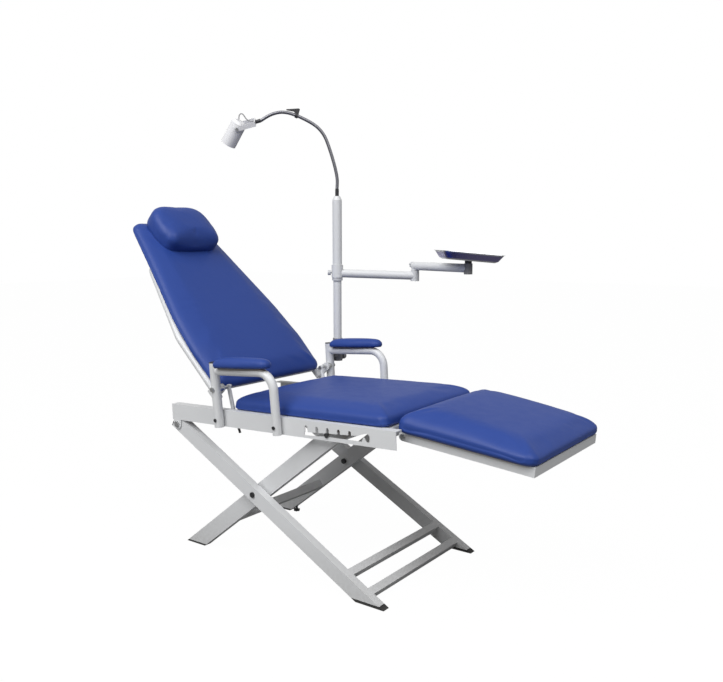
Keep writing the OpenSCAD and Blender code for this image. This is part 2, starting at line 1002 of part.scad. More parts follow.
// Inner leg with the quarter bend that joins it to the bridge
module inner_leg() {
    difference() {
        inner_place()
            difference() {
                union() {
                    translate([-inner_floor - 60, inner_out - leg_w / 2, 0])
                        box_tube(inner_floor + 60 + bend_x, leg_w, inner_leg_h, tube_wall);
                    translate([bend_x, bend_y, 0])
                        bend_profile();
                }
                cross_rod(leg_bolt_d + 2 * pin_clear, 150, 300);
                translate([leg_half, 0, 0])
                    cross_rod(rod_d, bend_y + 1, 300);
            }
        floor_slab(-200, inner_foot);
    }
}

module bend_profile() {
    difference() {
        rotate_extrude(angle = 90)
            translate([leg_bend_r - leg_w, -inner_leg_h / 2])
                square([leg_w, inner_leg_h]);
        rotate_extrude(angle = 90)
            translate([leg_bend_r - leg_w + tube_wall, tube_wall - inner_leg_h / 2])
                square([leg_w - 2 * tube_wall, inner_leg_h - 2 * tube_wall]);
    }
}

// Left inner leg, bored for the levelling screw under it
module left_inner_leg() {
    color(paint)
        difference() {
            inner_leg();
            place()
                translate([level_x, level_y, 0])
                    cylinder(d = 8 + 2 * pin_clear, h = 40);
        }
}

module right_inner_leg() {
    color(paint)
        opposite()
            inner_leg();
}

// Cross tube at the top of the inner legs and the brace tube near their feet
module inner_cross_members() {
    color(paint) {
        inner_place()
            translate([leg_half, 0, 0])
                cross_box(2 * bend_y, leg_w, inner_leg_h, tube_wall);
        inner_place()
            translate([-148, 0, cross_tube / 2 - inner_leg_h / 2])
                cross_box(2 * inner_in, cross_tube, cross_tube, tube_wall);
    }
}

module height_rod() {
    color(steel)
        inner_place()
            translate([leg_half, 0, 0])
                cross_rod(rod_d, -half_w - 2, half_w + 2);
}

module rod_caps() {
    color(black)
        inner_place()
            both_sides()
                translate([leg_half, 0, 0])
                    difference() {
                        cross_rod(13, half_w + slip, half_w + 4);
                        cross_rod(rod_d, half_w - 1, half_w + 2);
                    }
}

// Levelling screw with a lobed head, under the left inner leg in front of its foot
module levelling_screw() {
    color(black)
        place()
            translate([level_x, level_y, 0]) {
                for (k = [0:5])
                    rotate([0, 0, 60 * k])
                        translate([7.5, 0, 1])
                            cylinder(d = 7, h = 6);
                translate([0, 0, 1])
                    cylinder(d = 17, h = 6);
                cylinder(d = 12, h = 1);
                cylinder(d = 8, h = 38);
            }
}

module inner_feet() {
    color(black)
        both_outer() {
            intersection() {
                inner_place()
                    translate([-inner_floor - 60, inner_in, -inner_leg_h / 2])
                        cube([inner_floor, leg_w, inner_leg_h]);
                floor_slab(0, inner_foot);
            }
            intersection() {
                inner_place()
                    translate([-inner_floor - 60, inner_in + tube_wall,
                               tube_wall - inner_leg_h / 2])
                        cube([inner_floor, leg_w - 2 * tube_wall, inner_leg_h - 2 * tube_wall]);
                floor_slab(inner_foot, inner_foot + 6);
            }
        }
}

// Leg rest

// Hinge ears welded to the front cross member
module rest_hinge_ears() {
    reach = rest_hinge_s - front_cross_s - cross_tube;
    color(paint)
        rail_place()
            both_sides()
                difference() {
                    union() {
                        translate([rest_hinge_s, 0, -rest_hinge_drop])
                            cross_rod(22, rest_tube_in - 5.3, rest_tube_in - slip);
                        translate([front_cross_s + cross_tube, rest_tube_in - 5.3,
                                   -rest_hinge_drop - 7])
                            cube([reach, 5, 14]);
                    }
                    translate([rest_hinge_s, 0, -rest_hinge_drop])
                        cross_rod(8, 100, 200);
                }
}

module rest_hinge_bolts() {
    color(steel)
        rail_place()
            both_sides()
                translate([rest_hinge_s, 0, -rest_hinge_drop]) {
                    cross_rod(8, rest_tube_in - 9, rest_frame_w / 2 + 1);
                    cross_rod(14, rest_tube_in - 11, rest_tube_in - 5.3);
                    cross_rod(13, rest_frame_w / 2 + slip, rest_frame_w / 2 + 4.5);
                }
}

// Welded frame of the leg rest: two side tubes closed by end plates, and two bars
module rest_side_tube() {
    y = rest_frame_w / 2 - cross_tube / 2;
    difference() {
        union() {
            translate([0, y, 0])
                box_tube(rest_bar_x + cross_tube, cross_tube, cross_tube, tube_wall);
            translate([rest_bar_x + cross_tube - tube_wall, rest_tube_in, -cross_tube / 2])
                cube([tube_wall, cross_tube, cross_tube]);
            translate([0, rest_tube_in, 0])
                cross_rod(cross_tube, 0, tube_wall);
            translate([0, rest_tube_in, 0])
                cross_rod(cross_tube, cross_tube - tube_wall, cross_tube);
        }
        cross_rod(8 + 2 * pin_clear, 100, 300);
    }
}

module leg_rest_frame() {
    color(paint)
        rest_place() {
            both_sides()
                rest_side_tube();
            translate([42, 0, 0])
                cross_box(2 * rest_tube_in, cross_tube, cross_tube, tube_wall);
            translate([rest_bar_x + cross_tube / 2, 0, 0])
                cross_box(2 * rest_tube_in, cross_tube, cross_tube, tube_wall);
        }
}

function rest_pts() = outline(mirrored([
    [-rest_lap, -rest_cushion_w / 2, 28], [rest_cushion_l - rest_lap, -rest_cushion_w / 2, 34]
]));
rest_c = rest_cushion_l / 2 - rest_lap;

module rest_board() {
    color(wood)
        rest_place()
            translate([0, 0, cross_tube / 2])
                board(rest_pts(), rest_c, rest_cushion_l, rest_cushion_w, 11, board_t);
}

module rest_cushion() {
    color(vinyl)
        rest_place()
            translate([0, 0, cross_tube / 2])
                cushion(rest_pts(), rest_c, rest_cushion_l, rest_cushion_w,
                        rest_cushion_h, crown, 20, 11, board_t, 0.5);
}

// Backrest: X runs down the back, Z out of its front face

function back_pts() = outline(mirrored([
    [-back_t - back_l, -back_narrow / 2, 44], [-0.682 * back_l, -back_wide / 2 + 54, 900],
    [-0.412 * back_l, -back_wide / 2 + 14, 500], [-0.213 * back_l, -back_wide / 2, 160],
    [-back_t, -back_wide / 2 + 7, 30]
]));
back_c = -back_t - back_l / 2;

// Route of one half of the frame tube: up the back, inward at the knee, across the top
function back_route() =
    let (low = [9, back_low_y], knee = [-back_knee_t, back_low_y],
         corner = [-back_bar_t, back_high_y], mid = [-back_bar_t, 0])
    concat([low], fillet(knee, low, corner, 60), fillet(corner, knee, mid, 34));

module back_tube() {
    half = back_route();
    route = concat(half, [for (i = [len(half) - 1:-1:0]) [half[i][0], -half[i][1]]]);
    translate([0, 0, back_tube_n])
        rotate([-90, 0, 0])
            planar_hose(route, back_tube_d, 16);
}

// Side plates from the frame tube forward to the pivot
module back_bracket() {
    difference() {
        translate([0, plate_out, 0])
            rotate([90, 0, 0])
                linear_extrude(plate_out - plate_in)
                    union() {
                        circle(r = 13);
                        polygon([
                            [13, 0], [-13, 0], [-18, back_tube_n + 11],
                            [-30, back_tube_n - 4], [-30, back_tube_n - 11],
                            [11, back_tube_n - 11], [11, back_tube_n + 11]
                        ]);
                    }
        cross_rod(8 + 2 * pin_clear, 200, 300);
    }
}

module back_frame() {
    color(paint)
        back_place() {
            back_tube();
            both_sides()
                back_bracket();
            translate([-29, 0, back_tube_n])
                cross_rod(back_tube_d, -back_low_y, back_low_y);
        }
}

module back_board() {
    color(wood)
        back_place()
            translate([0, 0, -back_drop])
                board(back_pts(), back_c, back_l, back_wide, 11, board_t);
}

module back_cushion() {
    color(vinyl)
        back_place()
            translate([0, 0, -back_drop])
                cushion(back_pts(), back_c, back_l, back_wide, back_h, crown, 18, 11, board_t, 0);
}

module head_pillow() {
    c = -pillow_t - pillow_l / 2;
    color(vinyl)
        back_place()
            difference() {
                translate([0, 0, back_h - back_drop - 2])
                    cushion(pillow_pts(), c, pillow_l, pillow_w, pillow_h - 14, 14, 30, 11, 0, 0);
                translate([0, 0, -back_drop])
                    cushion(back_pts(), back_c, back_l, back_wide, back_h, crown, 18, 11, 0, 0);
            }
}

function pillow_pts() = outline(mirrored([
    [-pillow_t - pillow_l, -pillow_w / 2 + 6, 74], [-pillow_t - 60, -pillow_w / 2, 100],
    [-pillow_t, -pillow_w / 2 + 14, 44]
]));

// Accessory pole

module pole_socket() {
    z = 566;
    color(dark)
        difference() {
            pole_place()
                union() {
                    translate([0, 0, socket_low])
                        cylinder(d = socket_d, h = socket_high - socket_low);
                    translate([-11, post_y + 12 - pole_y, z - 16])
                        cube([22, pole_y - post_y - 12, 32]);
                }
            pole_place()
                translate([0, 0, socket_low - 1])
                    cylinder(d = pole_low_d, h = 200);
            arm_place()
                cylinder(d = post_d, h = 300);
            arm_place()
                loop_shape(arm_d);
            pole_place()
                translate([0, 0, 548])
                    cross_rod(6 + 2 * pin_clear, 0, 40);
        }
}

module pole_clamp_knob() {
    color(black)
        pole_place()
            translate([0, 0, 548]) {
                cross_rod(6, pole_low_d / 2 + slip, 30);
                cross_rod(24, socket_d / 2 + 4, socket_d / 2 + 18);
            }
}

module lower_pole() {
    color(paint)
        pole_place()
            translate([0, 0, socket_low + 4])
                cylinder(d = pole_low_d, h = hub_z + hub_h + 40 - socket_low);
}

module pole_collar() {
    color(dark)
        pole_place()
            translate([0, 0, hub_z - 10.3])
                difference() {
                    cylinder(d = 36, h = 10);
                    translate([0, 0, -1])
                        cylinder(d = pole_low_d, h = 12);
                }
}

module upper_pole() {
    z0 = hub_z + hub_h + slip;
    color(paint)
        pole_place()
            difference() {
                union() {
                    translate([0, 0, z0])
                        cylinder(d = pole_up_d, h = pole_top_z - z0);
                    translate([0, 0, pole_top_z])
                        cylinder(d1 = pole_up_d, d2 = 20, h = 13);
                }
                translate([0, 0, z0 - 1])
                    cylinder(d = pole_low_d, h = pole_top_z - 1 - z0);
                translate([0, 0, pole_top_z - 4])
                    cylinder(d = 8 + 2 * pin_clear, h = 30);
            }
}

// Tray arms

// Hub, sloping tube and elbow sleeve, welded together
module first_arm() {
    dz = elbow_z - arm_1_z;
    color(paint)
        arm_1_place()
            difference() {
                union() {
                    translate([0, 0, hub_z])
                        cylinder(d = hub_d, h = hub_h);
                    translate([0, 0, arm_1_z])
                        rotate([0, 90 + atan2(-dz, arm_1_l), 0])
                            cylinder(d = tray_arm_d, h = norm([arm_1_l, dz]));
                    translate([arm_1_l, 0, elbow_low])
                        cylinder(d = 29, h = elbow_high - elbow_low);
                }
                translate([0, 0, hub_z - 1])
                    cylinder(d = pole_low_d + 2 * pin_clear, h = hub_h + 2);
                translate([0, 0, hub_z + 16.5])
                    rotate([0, -90, 0])
                        cylinder(d = 6 + 2 * pin_clear, h = 40);
                translate([arm_1_l, 0, elbow_low + 4])
                    cylinder(d = 12 + 2 * pin_clear, h = 60);
            }
}

module hub_knob() {
    color(paint)
        arm_1_place()
            translate([0, 0, hub_z + 16.5])
                rotate([0, -90, 0]) {
                    translate([0, 0, pole_low_d / 2 + slip])
                        cylinder(d = 6, h = 13);
                    translate([0, 0, hub_d / 2 + 3])
                        cylinder(d = 17, h = 10);
                }
}

// Second arm with the pin that turns in the elbow sleeve
module second_arm() {
    color(paint)
        arm_2_place()
            difference() {
                union() {
                    translate([-6, 0, arm_2_z])
                        rotate([0, 90, 0])
                            cylinder(d = tray_arm_d, h = arm_2_l + 6);
                    translate([-6, 0, arm_2_z])
                        rotate([0, -90, 0])
                            cylinder(d1 = tray_arm_d, d2 = tray_arm_d - 8, h = 6);
                    translate([0, 0, elbow_low + 6])
                        cylinder(d = 12, h = elbow_high - elbow_low + 8);
                    translate([0, 0, elbow_high + 0.4])
                        cylinder(d = 24, h = 12);
                }
                translate([arm_2_l, 0, arm_2_z - 40])
                    cylinder(d = 27, h = 90);
                translate([-20, 0, arm_2_z + 4])
                    rotate([0, 90, 0])
                        cylinder(d = 6 + 2 * pin_clear, h = 14);
            }
}

module elbow_knob() {
    color(steel)
        arm_2_place()
            translate([-12 - slip, 0, arm_2_z + 4])
                rotate([0, -90, 0]) {
                    for (k = [0:4])
                        rotate([0, 0, 72 * k])
                            translate([6.2, 0, 0])
                                cylinder(d = 7, h = 9);
                    cylinder(d = 15, h = 9);
                    translate([0, 0, -5.5])
                        cylinder(d = 6, h = 6);
                }
}

module tray_holder() {
    color(black)
        tray_place()
            difference() {
                translate([0, 0, holder_low])
                    cylinder(d = 27, h = holder_high - holder_low);
                translate([0, 0, holder_low + 6])
                    cylinder(d = 14 + 2 * pin_clear, h = 60);
            }
}

module tray_post() {
    color(black)
        tray_place()
            difference() {
                union() {
                    translate([0, 0, holder_low + 6 + slip])
                        cylinder(d = 14, h = 40);
                    translate([0, 0, holder_high + slip])
                        cylinder(d = 22, h = 16);
                }
                tray_level()
                    translate([-60, -60, 0])
                        cube([120, 120, 60]);
            }
}

// Tray frame: Z square to the tray's floor, origin on its underside
module tray_level() {
    translate([0, 0, post_top - 4])
        rotate([0, 0, tray_turn])
            rotate([0, tray_slope, 0])
                children();
}

function tray_pts(d) = outline(mirrored([
    [d - tray_l / 2, d - tray_w / 2, 18], [tray_l / 2 - d, d - tray_w / 2, 18]
]));

function tray_ring(d, z) = [for (p = tray_pts(d)) [p[0], p[1], z]];

module instrument_tray() {
    color(steel)
        tray_place()
            tray_level()
                skin([
                    tray_ring(24, 1.2), tray_ring(17, 5.5), tray_ring(4.5, tray_d),
                    tray_ring(0.5, tray_d), tray_ring(0, tray_d - 0.8),
                    tray_ring(3, tray_d - 1.2), tray_ring(15.6, 4.6), tray_ring(24, 0)
                ]);
}

// Gooseneck and lamp

module gooseneck() {
    color(steel)
        neck_place()
            planar_hose(neck_path, neck_d, 12);
}

module neck_ferrules() {
    color(black) {
        neck_place()
            translate([0, 0, -ferrule_l - 6])
                cylinder(d = ferrule_d, h = ferrule_l + 6);
        neck_place()
            translate([0, 0, -ferrule_l - 30])
                cylinder(d = 8, h = 26);
        yoke_place()
            translate([yoke_l, 0, 0])
                rotate([0, 90, 0])
                    cylinder(d = ferrule_d, h = ferrule_l);
    }
}

// Small clip around the top of the gooseneck with a pointed tail
module neck_clip() {
    at = [-134, 241.6];
    lean = 20.6;
    color(black)
        neck_place()
            difference() {
                union() {
                    translate([at[0], 0, at[1]])
                        rotate([0, lean - 90, 0])
                            cylinder(d = 17, h = 9, center = true);
                    rotate([90, 0, 0])
                        translate([0, 0, -4.5])
                            linear_extrude(9)
                                polygon([
                                    [-139, 247], [-128, 245], [-123, 262.5], [-127, 264.5],
                                    [-168, 262], [-168, 259.5], [-143, 255]
                                ]);
                }
                translate([at[0], 0, at[1]])
                    rotate([0, lean - 90, 0])
                        cylinder(d = neck_d + 0.7, h = 40, center = true);
            }
}

module lamp_yoke() {
    color(paint)
        yoke_place()
            difference() {
                union() {
                    translate([yoke_l - 3, -30, -8])
                        cube([3, 60, 16]);
                    both_sides()
                        translate([0, 27, -8])
                            cube([yoke_l - 1, 3, 16]);
                    both_sides()
                        cross_rod(16, 27, 30);
                }
                cross_rod(5, -40, 40);
            }
}

module lamp_screws() {
    color(dark)
        yoke_place()
            both_sides() {
                cross_rod(5, 20, 31);
                cross_rod(10, 30, 33);
            }
}

module lamp_housing() {
    color(paint)
        lamp_place()
            difference() {
                union() {
                    translate([-14, 0, 0])
                        rotate([0, 90, 0])
                            cylinder(d = shade_d, h = 30);
                    translate([-22, 0, 0])
                        rotate([0, 90, 0])
                            cylinder(d1 = shade_d - 18, d2 = shade_d, h = 8);
                }
                cross_rod(5 + 2 * pin_clear, -40, 40);
            }
}

module lamp_shade() {
    color(paint)
        lamp_place()
            translate([16, 0, 0])
                rotate([0, 90, 0])
                    difference() {
                        cylinder(d = shade_d, h = shade_l - 16);
                        translate([0, 0, -1])
                            cylinder(d = shade_d - 3, h = shade_l);
                    }
}

module lamp_bulb() {
    color(steel)
        lamp_place()
            translate([16, 0, 0])
                rotate([0, 90, 0]) {
                    cylinder(d = 26, h = 8);
                    translate([0, 0, 8])
                        cylinder(d1 = 26, d2 = 44, h = 20);
                    translate([0, 0, 28])
                        cylinder(d = 44, h = 4);
                }
}

module lamp_wire() {
    color(dark)
        neck_place()
            planar_hose(wire_path, 4, 8);
}

right_side_rail();
left_side_rail();
seat_cross_tubes();
front_cross_member();
leg_pivot_bolts();
right_armrest_frame();
left_armrest_frame();
armrest_caps();
armrest_screws();
armrest_boards();
right_armrest_pad();
left_armrest_pad();
seat_board();
seat_cushion();
back_pivot_bolts();
back_stays();
stay_studs();
rest_hinge_ears();
rest_hinge_bolts();
pole_socket();
lower_pole();
pole_collar();
upper_pole();
pole_clamp_knob();
right_outer_leg();
left_outer_leg();
foot_rungs();
outer_end_plugs();
outer_feet();
scissor_bolts();
right_inner_leg();
left_inner_leg();
inner_cross_members();
height_rod();
rod_caps();
inner_feet();
levelling_screw();
leg_rest_frame();
rest_board();
rest_cushion();
back_frame();
back_board();
back_cushion();
head_pillow();
hub_knob();
first_arm();
second_arm();
elbow_knob();
tray_holder();
tray_post();
instrument_tray();
gooseneck();
neck_ferrules();
neck_clip();
lamp_yoke();
lamp_screws();
lamp_housing();
lamp_shade();
lamp_bulb();
lamp_wire();
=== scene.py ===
from math import radians, sqrt, tan

import bmesh
import bpy
from mathutils import Matrix, Vector
from mathutils.bvhtree import BVHTree


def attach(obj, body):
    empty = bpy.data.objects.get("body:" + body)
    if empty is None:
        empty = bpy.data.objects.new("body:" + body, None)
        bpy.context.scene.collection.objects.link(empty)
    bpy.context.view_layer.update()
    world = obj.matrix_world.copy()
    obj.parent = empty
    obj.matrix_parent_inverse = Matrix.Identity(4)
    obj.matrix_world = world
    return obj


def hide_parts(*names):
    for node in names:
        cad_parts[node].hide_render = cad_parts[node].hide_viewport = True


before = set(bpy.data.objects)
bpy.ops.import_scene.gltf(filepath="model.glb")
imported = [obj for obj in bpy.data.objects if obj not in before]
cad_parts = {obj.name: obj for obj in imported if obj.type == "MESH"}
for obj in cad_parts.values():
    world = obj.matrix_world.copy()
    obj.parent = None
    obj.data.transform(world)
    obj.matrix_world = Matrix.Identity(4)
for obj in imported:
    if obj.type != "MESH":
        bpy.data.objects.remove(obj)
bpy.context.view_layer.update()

# Camera: a photographer's eye height in front of the chair's right-hand corner,
# looking a little down at it, with the photograph's field of view.
bpy.ops.object.camera_add(
    location=(1.45054, -1.9376, 0.9523), rotation=(radians(82.75), radians(0.03), radians(36.23)))
camera = bpy.context.object
camera.name = "chair_camera"
camera.data.lens = 39.406
camera.data.sensor_width = 36
camera.data.shift_x = 0.0009
camera.data.shift_y = -0.0019
camera.data.clip_end = 60
bpy.context.scene.camera = camera
bpy.context.scene.view_settings.view_transform = "Standard"

# Room: a large soft box high behind the camera's left shoulder and a weaker one over
# the feet. Floor and sky look white but light the chair only a little.
for name, place, wide, power in (
        ("key_light", (-0.4, -3.4, 4.0), 3.4, 205), ("fill_light", (3.0, -1.0, 4.2), 3.0, 95)):
    bpy.ops.object.light_add(type="AREA", location=place)
    lamp = bpy.context.object
    lamp.name = name
    lamp.data.size = wide
    lamp.data.energy = power
    lamp.rotation_euler = (Vector((0, 0, 0.5)) - lamp.location).to_track_quat("-Z", "Y").to_euler()

sky = bpy.data.worlds.new("studio_sky")
sky.use_nodes = True
bpy.context.scene.world = sky
bpy.ops.mesh.primitive_plane_add(size=30, location=(0, 0, -0.0005))
floor = bpy.context.object
floor.name = "studio_floor"
floor_paint = bpy.data.materials.new("studio_floor")
floor_paint.use_nodes = True
floor.data.materials.append(floor_paint)

sky_shade = sky.node_tree.nodes["Background"]
sky_shade.inputs["Color"].default_value = (1, 1, 1, 1)
sky_shade.inputs["Strength"].default_value = 0.2
floor_shade = floor_paint.node_tree.nodes["Principled BSDF"]
floor_shade.inputs["Base Color"].default_value = (0.24, 0.24, 0.24, 1)
floor_shade.inputs["Roughness"].default_value = 0.9
for tree, shade, bright, share, mirrored_share, strength in (
        (sky.node_tree, sky_shade, "ShaderNodeBackground", 1.0, 0.45, 1.0),
        (floor_paint.node_tree, floor_shade, "ShaderNodeEmission", 0.94, 0.05, 1.05)):
    seen = tree.nodes.new(bright)
    seen.inputs["Color"].default_value = (1, 1, 1, 1)
    seen.inputs["Strength"].default_value = strength
    path = tree.nodes.new("ShaderNodeLightPath")
    either = tree.nodes.new("ShaderNodeMath")
    either.operation = "ADD"
    tree.links.new(path.outputs["Is Glossy Ray"], either.inputs[0])
    tree.links.new(path.outputs["Is Transmission Ray"], either.inputs[1])
    total = tree.nodes.new("ShaderNodeMath")
    total.operation = "MULTIPLY_ADD"
    total.use_clamp = True
    tree.links.new(either.outputs[0], total.inputs[0])
    total.inputs[1].default_value = mirrored_share
    tree.links.new(path.outputs["Is Camera Ray"], total.inputs[2])
    part = tree.nodes.new("ShaderNodeMath")
    part.operation = "MULTIPLY"
    part.inputs[1].default_value = share
    tree.links.new(total.outputs[0], part.inputs[0])
    mix = tree.nodes.new("ShaderNodeMixShader")
    tree.links.new(part.outputs[0], mix.inputs["Fac"])
    tree.links.new(shade.outputs[0], mix.inputs[1])
    tree.links.new(seen.outputs[0], mix.inputs[2])
    output = tree.nodes.get("World Output") or tree.nodes["Material Output"]
    tree.links.new(mix.outputs["Shader"], output.inputs["Surface"])


# Painted steelwork: rails, legs, armrest tubes, pole and arms. Mild steel tube and
# sheet, welded and sprayed with a satin white powder coat that keeps a fine
# orange-peel ripple and gathers a little grey along its lower edges.
class Signal:
    """What leaves one output of a shader node; sums and products add Math nodes."""

    def __init__(self, finish, socket):
        self.finish = finish
        self.socket = socket

    def maths(self, operation, first, second):
        return self.finish.node("ShaderNodeMath", {"operation": operation}, {0: first, 1: second})

    def __add__(self, other):
        return self.maths("ADD", self, other)

    def __sub__(self, other):
        return self.maths("SUBTRACT", self, other)

    def __rsub__(self, other):
        return self.maths("SUBTRACT", other, self)

    def __mul__(self, other):
        return self.maths("MULTIPLY", self, other)

    __radd__ = __add__
    __rmul__ = __mul__


class Finish:
    """A material built up round its Principled shader."""

    def __init__(self, name, color, roughness, metallic=0.0):
        self.material = bpy.data.materials.new(name)
        self.material.use_nodes = True
        self.tree = self.material.node_tree
        self.shader = self.tree.nodes["Principled BSDF"]
        self.give("Base Color", (*color, 1))
        self.give("Roughness", roughness)
        self.give("Metallic", metallic)
        self.place = self.node("ShaderNodeTexCoord", {}, {}, "Object")

    def node(self, kind, settings, sockets, out=0):
        made = self.tree.nodes.new(kind)
        for name, value in settings.items():
            setattr(made, name, value)
        for name, value in sockets.items():
            if isinstance(value, Signal):
                self.tree.links.new(value.socket, made.inputs[name])
            else:
                made.inputs[name].default_value = value
        return Signal(self, made.outputs[out])

    def give(self, name, value):
        if isinstance(value, Signal):
            self.tree.links.new(value.socket, self.shader.inputs[name])
        else:
            self.shader.inputs[name].default_value = value

    def noise(self, scale, detail=2.0):
        return self.node(
            "ShaderNodeTexNoise", {}, {"Vector": self.place, "Scale": scale, "Detail": detail})

    def ramp(self, value, low, high, settings=None, start=0.0, end=1.0):
        """A value that goes from start to end while the given one goes from low to high."""
        return self.node("ShaderNodeMapRange", settings or {}, {
            "Value": value, "From Min": low, "From Max": high, "To Min": start, "To Max": end})

    def blend(self, factor, first, second):
        return self.node(
            "ShaderNodeMix", {"data_type": "RGBA"},
            {0: factor, 6: first if isinstance(first, Signal) else (*first, 1),
             7: second if isinstance(second, Signal) else (*second, 1)}, 2)

    def bump(self, height, strength, distance):
        self.give("Normal", self.node(
            "ShaderNodeBump", {}, {"Height": height, "Strength": strength, "Distance": distance}))

    def coat(self, *names):
        for name in names:
            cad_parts[name].data.materials.clear()
            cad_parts[name].data.materials.append(self.material)


paint = Finish("white_powder_coat", (0.70, 0.71, 0.72), 0.34)
height = paint.node("ShaderNodeSeparateXYZ", {}, {"Vector": paint.place}, 2)
scuff = paint.ramp(height, 0.0, 0.16, start=1.0, end=0.0)
clean = paint.blend(paint.noise(7.0, 3.0), (0.68, 0.69, 0.705), (0.73, 0.74, 0.75))
paint.give("Base Color", paint.blend(scuff * paint.noise(90.0, 4.0) * 0.5, clean, (0.34, 0.33, 0.31)))
paint.give("Roughness", paint.noise(60.0) * 0.14 + 0.28)
paint.bump(paint.noise(640.0, 1.0) + paint.noise(160.0) * 0.6, 0.10, 0.0006)
paint.coat(
    "right_side_rail", "left_side_rail", "seat_cross_tubes", "front_cross_member", "right_armrest_frame",
    "left_armrest_frame", "back_stays", "rest_hinge_ears", "lower_pole", "upper_pole", "right_outer_leg",
    "left_outer_leg", "foot_rungs", "right_inner_leg", "left_inner_leg", "inner_cross_members",
    "leg_rest_frame", "back_frame", "first_arm", "second_arm")

# Lamp: spun aluminium shade and housing in a bent steel fork, sprayed a brighter
# gloss white than the chair. The spot behind the shade's mouth has a frosted face.
lamp_white = Finish("lamp_enamel", (0.80, 0.80, 0.82), 0.24)
lamp_white.give("Base Color", lamp_white.blend(lamp_white.noise(30.0, 3.0), (0.77, 0.77, 0.79), (0.82, 0.82, 0.84)))
lamp_white.give("Roughness", lamp_white.noise(40.0) * 0.08 + 0.26)
lamp_white.bump(lamp_white.noise(160.0, 1.0), 0.03, 0.0002)
lamp_white.coat("lamp_yoke", "lamp_housing", "lamp_shade")
lens = Finish("frosted_lens", (0.86, 0.86, 0.82), 0.4)
lens.give("Transmission Weight", 0.35)
lens.give("Roughness", lens.noise(500.0) * 0.2 + 0.3)
lens.bump(lens.node("ShaderNodeTexVoronoi", {}, {"Vector": lens.place, "Scale": 380.0}), 0.4, 0.0006)
lens.coat("lamp_bulb")

# Bolts, nuts and the height rod: turned steel, dull zinc plated, with faint
# turning marks. The scissor bolts, armrest screws and the gooseneck's ferrules are
# blackened, and the pole's clamp and the tray's holder are dull grey castings.
zinc = Finish("zinc_plate", (0.56, 0.57, 0.58), 0.34, 1.0)
zinc.give("Base Color", zinc.blend(zinc.noise(120.0, 3.0), (0.46, 0.47, 0.48), (0.62, 0.62, 0.61)))
zinc.give("Roughness", zinc.noise(300.0) * 0.22 + 0.24)
zinc.bump(zinc.noise(1500.0, 1.0), 0.15, 0.0002)
zinc.coat("leg_pivot_bolts", "back_pivot_bolts", "rest_hinge_bolts", "height_rod", "lamp_screws")
blacked = Finish("black_steel", (0.035, 0.035, 0.038), 0.4, 0.6)
blacked.give("Base Color", blacked.blend(blacked.noise(160.0, 4.0), (0.022, 0.022, 0.025), (0.07, 0.07, 0.072)))
blacked.give("Roughness", blacked.noise(260.0) * 0.25 + 0.3)
blacked.bump(blacked.noise(900.0, 1.0), 0.12, 0.0003)
blacked.coat("scissor_bolts", "armrest_screws", "neck_ferrules")
clamp = Finish("grey_casting", (0.24, 0.24, 0.25), 0.5, 0.2)
clamp.give("Base Color", clamp.blend(clamp.noise(40.0, 4.0), (0.19, 0.19, 0.20), (0.28, 0.28, 0.29)))
clamp.bump(clamp.noise(520.0, 3.0), 0.3, 0.0006)
clamp.coat("pole_socket", "pole_clamp_knob", "tray_holder")

# Mouldings: caps, plugs, studs, clip, tray post and levelling screw, in black nylon
# with a fine spark texture. The arms' knobs and the pole's collar are pale grey.
plastic = Finish("black_plastic", (0.022, 0.022, 0.024), 0.45)
plastic.give("Base Color", plastic.blend(plastic.noise(50.0, 3.0), (0.018, 0.018, 0.020), (0.030, 0.030, 0.033)))
plastic.give("Roughness", plastic.noise(220.0) * 0.15 + 0.40)
plastic.bump(plastic.noise(1400.0, 1.0), 0.25, 0.0003)
plastic.coat("armrest_caps", "stay_studs", "rod_caps", "outer_end_plugs", "neck_clip", "tray_post",
             "levelling_screw")
pale = Finish("pale_plastic", (0.55, 0.56, 0.58), 0.42)
pale.give("Base Color", pale.blend(pale.noise(60.0, 3.0), (0.52, 0.53, 0.55), (0.60, 0.61, 0.63)))
pale.bump(pale.noise(1200.0, 1.0), 0.2, 0.0003)
pale.coat("hub_knob", "elbow_knob", "pole_collar")

# Feet: moulded black rubber shoes, dull and dusty where they meet the ground.
rubber = Finish("foot_rubber", (0.020, 0.020, 0.020), 0.8)
low = rubber.node("ShaderNodeSeparateXYZ", {}, {"Vector": rubber.place}, 2)
dust = rubber.ramp(low, 0.0, 0.008, start=0.6, end=0.0)
rubber.give("Base Color", rubber.blend(dust * rubber.noise(150.0, 4.0), (0.018, 0.018, 0.019), (0.12, 0.115, 0.105)))
rubber.bump(rubber.noise(800.0, 2.0), 0.35, 0.0006)
rubber.coat("outer_feet", "inner_feet")

# Boards: birch plywood stained brown under each cushion and pad, with the grain
# along the board and the plies showing at its edges.
for tilt, boards in (
        (2.2, ("seat_board", "armrest_boards")), (-5.1, ("rest_board",)), (-44.4, ("back_board",))):
    ply = Finish("plywood_" + boards[0], (0.20, 0.11, 0.06), 0.6)
    turned = ply.node("ShaderNodeMapping", {"vector_type": "POINT"}, {
        "Vector": ply.place, "Rotation": (0, radians(tilt), 0)})
    along = ply.node("ShaderNodeMapping", {"vector_type": "POINT"}, {"Vector": turned, "Scale": (1.5, 22, 3)})
    grain = ply.node("ShaderNodeTexNoise", {}, {"Vector": along, "Scale": 9.0, "Detail": 5.0})
    plies = ply.node("ShaderNodeTexWave", {"wave_type": "BANDS", "bands_direction": "Z"}, {
        "Vector": turned, "Scale": 105.0})
    ply.give("Base Color", ply.blend(grain * 0.7 + plies * 0.3, (0.11, 0.055, 0.028), (0.27, 0.155, 0.085)))
    ply.give("Roughness", grain * 0.2 + 0.5)
    ply.bump(grain, 0.3, 0.0005)
    ply.coat(*boards)

